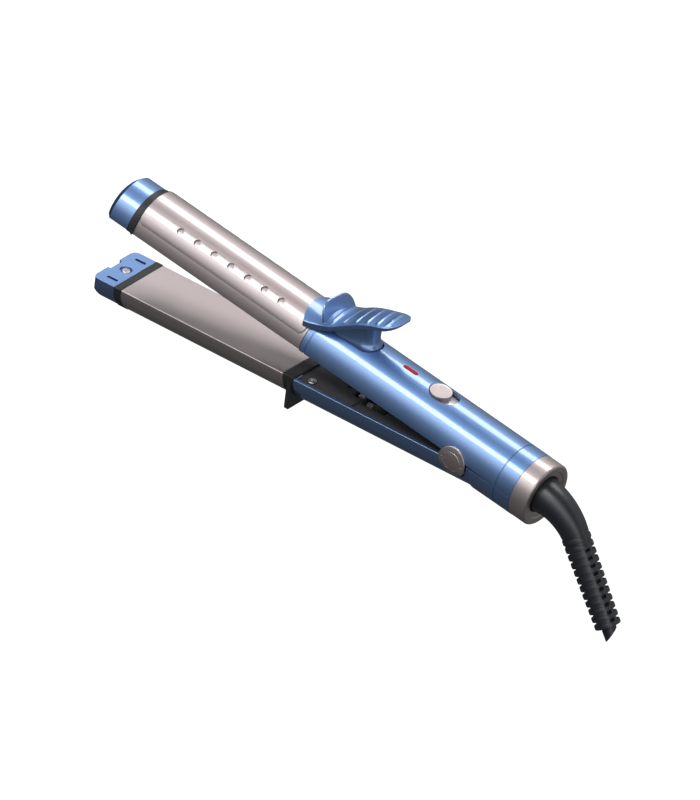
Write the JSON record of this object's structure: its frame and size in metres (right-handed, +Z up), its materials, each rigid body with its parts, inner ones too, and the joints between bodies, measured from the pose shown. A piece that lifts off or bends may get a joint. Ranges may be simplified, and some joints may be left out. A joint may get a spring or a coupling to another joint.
{
  "type": "hair iron",
  "caption": "Two-in-one hair iron: facing flat heating plates, a half-round curling barrel with a vented thumb-lever clamp, slide switch, arm lock and ribbed swivel cord exit",
  "frame": {"origin": "middle of the open iron in plan, at its lowest point", "axes": "+X along the handle towards the cord exit, +Y to the side, +Z up through the thumb lever"},
  "size_m": [0.3372, 0.0378, 0.0985],
  "materials": {
    "blue": "glossy metallic blue lacquer",
    "champagne": "satin champagne lacquer",
    "blackplastic": "satin black heat-proof plastic",
    "greyplastic": "matte dark grey plastic",
    "rubber": "soft satin black rubber",
    "lens": "clear red indicator lens",
    "steel": "bright zinc-plated steel",
    "ceramic": "white heater ceramic",
    "aluminium": "mill-finish aluminium",
    "board": "green circuit board",
    "leadwire": "braided heat-proof lead insulation"
  },
  "bodies": {
    "handle": {"upper_handle_shell": "blue", "rear_lower_shell": "blue", "end_ring": "champagne", "swivel_retainer": "blackplastic", "swivel_terminal": "blackplastic", "upper_inner_cover": "greyplastic", "barrel_holder": "blackplastic", "circuit_board": "board", "power_led": "lens", "indicator_lens": "lens", "slide_switch": "blackplastic", "cover_screws": "steel", "rear_shell_screws": "steel", "power_leads": "leadwire", "heater_leads": "leadwire", "barrel": "champagne", "upper_heating_plate": "champagne", "upper_heater": "ceramic", "heat_spreader": "aluminium", "thermal_fuse": "ceramic", "upper_insulator_ring": "blackplastic", "upper_tip_cap": "blue", "upper_tip_screw": "steel", "lever_pin": "steel", "lever_spring": "steel", "pivot_pin": "steel", "left_pivot_cap": "champagne", "right_pivot_cap": "champagne", "arm_spring": "steel"},
    "clamp": {"thumb_lever": "blue", "clamp_plate": "champagne", "clamp_rivets": "steel"},
    "button": {"slide_button": "champagne"},
    "lower_arm": {"lower_handle_shell": "blue", "lower_tray": "greyplastic", "tray_screws": "steel", "foot_bracket": "blackplastic", "lower_heating_plate": "champagne", "lower_plate_shell": "champagne", "lower_heater": "ceramic", "lower_insulator_ring": "blackplastic", "lower_tip_cap": "blue", "lower_tip_screw": "steel"},
    "lock": {"lock_slider": "champagne"},
    "swivel": {"strain_relief": "rubber"}
  },
  "joints": [
    {"name": "arm_close", "type": "hinge", "parent": "handle", "child": "lower_arm", "pos_m": [0.0627, 0, 0.05547], "axis": [0, 1, 0], "range_deg": [0, 8.8], "stiffness_Nm_per_rad": 2, "springref_deg": -17.19, "deforming": ["arm_spring"]},
    {"name": "clamp_lift", "type": "hinge", "parent": "handle", "child": "clamp", "pos_m": [-0.0299, 0, 0.06867], "axis": [0, 1, 0], "range_deg": [0, 18], "stiffness_Nm_per_rad": 0.6, "springref_deg": -8.59, "deforming": ["lever_spring"]},
    {"name": "button_slide", "type": "slide", "parent": "handle", "child": "button", "axis": [1, 0, 0], "range_m": [0, 0.0045]},
    {"name": "lock_slide", "type": "slide", "parent": "lower_arm", "child": "lock", "axis": [0.9882, 0, 0.153], "range_m": [0, 0.0032]},
    {"name": "cord_swivel", "type": "hinge", "parent": "handle", "child": "swivel", "pos_m": [0.1, 0, 0.05717], "axis": [1, 0, 0], "continuous": true}
  ]
}
